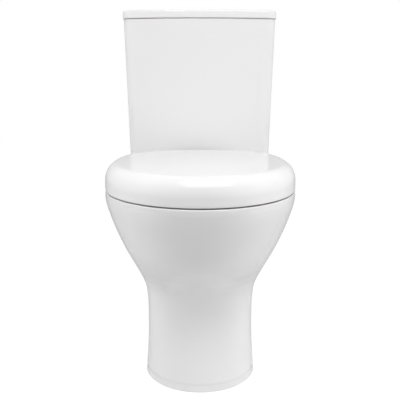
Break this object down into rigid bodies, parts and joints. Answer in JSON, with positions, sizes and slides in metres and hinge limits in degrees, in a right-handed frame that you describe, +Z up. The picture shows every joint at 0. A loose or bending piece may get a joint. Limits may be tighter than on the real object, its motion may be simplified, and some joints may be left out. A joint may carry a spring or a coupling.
{
  "type": "close coupled toilet",
  "caption": "Floor-standing toilet with a cistern bolted to the pan's rear deck, a hinged wrap-over seat and lid, a dual flush valve and a bottom-entry fill valve.",
  "frame": {"origin": "on the floor, in the middle of the toilet's width and depth", "axes": "+Z up, the pan's front faces -Y, +X is the right side seen from the front"},
  "size_m": [0.36, 0.625, 0.769],
  "materials": {
    "china": "glazed white vitreous china",
    "seat_plastic": "polished white thermoset",
    "soft_white": "soft white buffer",
    "valve_plastic": "moulded off-white",
    "blue_plastic": "moulded blue",
    "chrome": "polished plating",
    "steel": "plain zinc and stainless steel",
    "brass": "plain turned brass",
    "rubber": "black moulded rubber"
  },
  "bodies": {
    "pan": {"pan": "china", "cistern": "china", "coupling_seal": "rubber", "coupling_plate": "steel", "coupling_bolt_left": "brass", "bolt_rubber_washer_left": "rubber", "bolt_steel_washer_left": "steel", "wing_nut_left": "brass", "coupling_bolt_right": "brass", "bolt_rubber_washer_right": "rubber", "bolt_steel_washer_right": "steel", "wing_nut_right": "brass", "flush_valve_base": "valve_plastic", "flush_valve_washer": "rubber", "flush_valve_backnut": "valve_plastic", "flush_valve_cage": "valve_plastic", "valve_head": "valve_plastic", "lever_pivot_pin": "steel", "fill_valve_body": "valve_plastic", "fill_valve_washer": "rubber", "fill_valve_backnut": "brass", "fill_lever_pin": "steel", "hinge_post_left": "chrome", "hinge_pin_left": "steel", "hinge_stud_left": "steel", "hinge_gasket_left": "rubber", "hinge_nut_left": "valve_plastic", "hinge_post_right": "chrome", "hinge_pin_right": "steel", "hinge_stud_right": "steel", "hinge_gasket_right": "rubber", "hinge_nut_right": "valve_plastic"},
    "seat_ring": {"seat_ring": "seat_plastic", "ring_buffer_front_left": "soft_white", "ring_buffer_front_right": "soft_white", "ring_buffer_back_left": "soft_white", "ring_buffer_back_right": "soft_white"},
    "seat_lid": {"seat_lid": "seat_plastic", "lid_buffer_left": "soft_white", "lid_buffer_right": "soft_white"},
    "cistern_lid": {"cistern_lid": "china", "button_bezel": "chrome", "bezel_locknut": "valve_plastic"},
    "full_button": {"full_flush_button": "chrome", "full_flush_rod": "valve_plastic"},
    "half_button": {"half_flush_button": "chrome", "half_flush_rod": "valve_plastic"},
    "valve_column": {"valve_column": "blue_plastic", "valve_seal": "rubber"},
    "full_lever": {"full_flush_lever": "blue_plastic"},
    "half_lever": {"half_flush_lever": "blue_plastic"},
    "half_float": {"half_flush_float": "valve_plastic"},
    "fill_float": {"fill_valve_float": "blue_plastic"},
    "fill_lever": {"fill_valve_lever": "blue_plastic"}
  },
  "joints": [
    {"name": "seat_ring_hinge", "type": "hinge", "parent": "pan", "child": "seat_ring", "pos_m": [0, 0.1065, 0.427], "axis": [-1, 0, 0], "range_deg": [0, 93]},
    {"name": "seat_lid_hinge", "type": "hinge", "parent": "seat_ring", "child": "seat_lid", "pos_m": [0, 0.1065, 0.427], "axis": [1, 0, 0], "range_deg": [-93, 0]},
    {"name": "cistern_lid_lift", "type": "slide", "parent": "pan", "child": "cistern_lid", "axis": [0, 0, 1], "range_m": [0, 0.1]},
    {"name": "full_flush_press", "type": "slide", "parent": "cistern_lid", "child": "full_button", "axis": [0, 0, -1], "range_m": [0, 0.01], "stiffness_N_per_m": 350, "springref_m": -0.004},
    {"name": "half_flush_press", "type": "slide", "parent": "cistern_lid", "child": "half_button", "axis": [0, 0, -1], "range_m": [0, 0.01], "stiffness_N_per_m": 350, "springref_m": -0.004},
    {"name": "full_lever_turn", "type": "hinge", "parent": "pan", "child": "full_lever", "pos_m": [0, 0.25375, 0.6759], "axis": [1, 0, 0], "range_deg": [0, 33]},
    {"name": "half_lever_turn", "type": "hinge", "parent": "pan", "child": "half_lever", "pos_m": [0, 0.25375, 0.6759], "axis": [1, 0, 0], "range_deg": [0, 33]},
    {"name": "valve_column_lift", "type": "slide", "parent": "pan", "child": "valve_column", "axis": [0, 0, 1], "range_m": [0, 0.0102]},
    {"name": "half_float_lift", "type": "slide", "parent": "pan", "child": "half_float", "axis": [0, 0, 1], "range_m": [0, 0.0102]},
    {"name": "fill_float_rise", "type": "slide", "parent": "pan", "child": "fill_float", "axis": [0, 0, 1], "range_m": [0, 0.02]},
    {"name": "fill_lever_turn", "type": "hinge", "parent": "pan", "child": "fill_lever", "pos_m": [-0.118, 0.21575, 0.678], "axis": [1, 0, 0], "range_deg": [0, 27.5]}
  ],
  "couplings": [
    {"joint": "full_lever_turn", "follows": "full_flush_press", "rad_per_m": 57.14},
    {"joint": "valve_column_lift", "follows": "full_flush_press", "ratio": 1},
    {"joint": "half_lever_turn", "follows": "half_flush_press", "rad_per_m": 57.14},
    {"joint": "half_float_lift", "follows": "half_flush_press", "ratio": 1},
    {"joint": "fill_lever_turn", "follows": "fill_float_rise", "rad_per_m": 23.8}
  ]
}
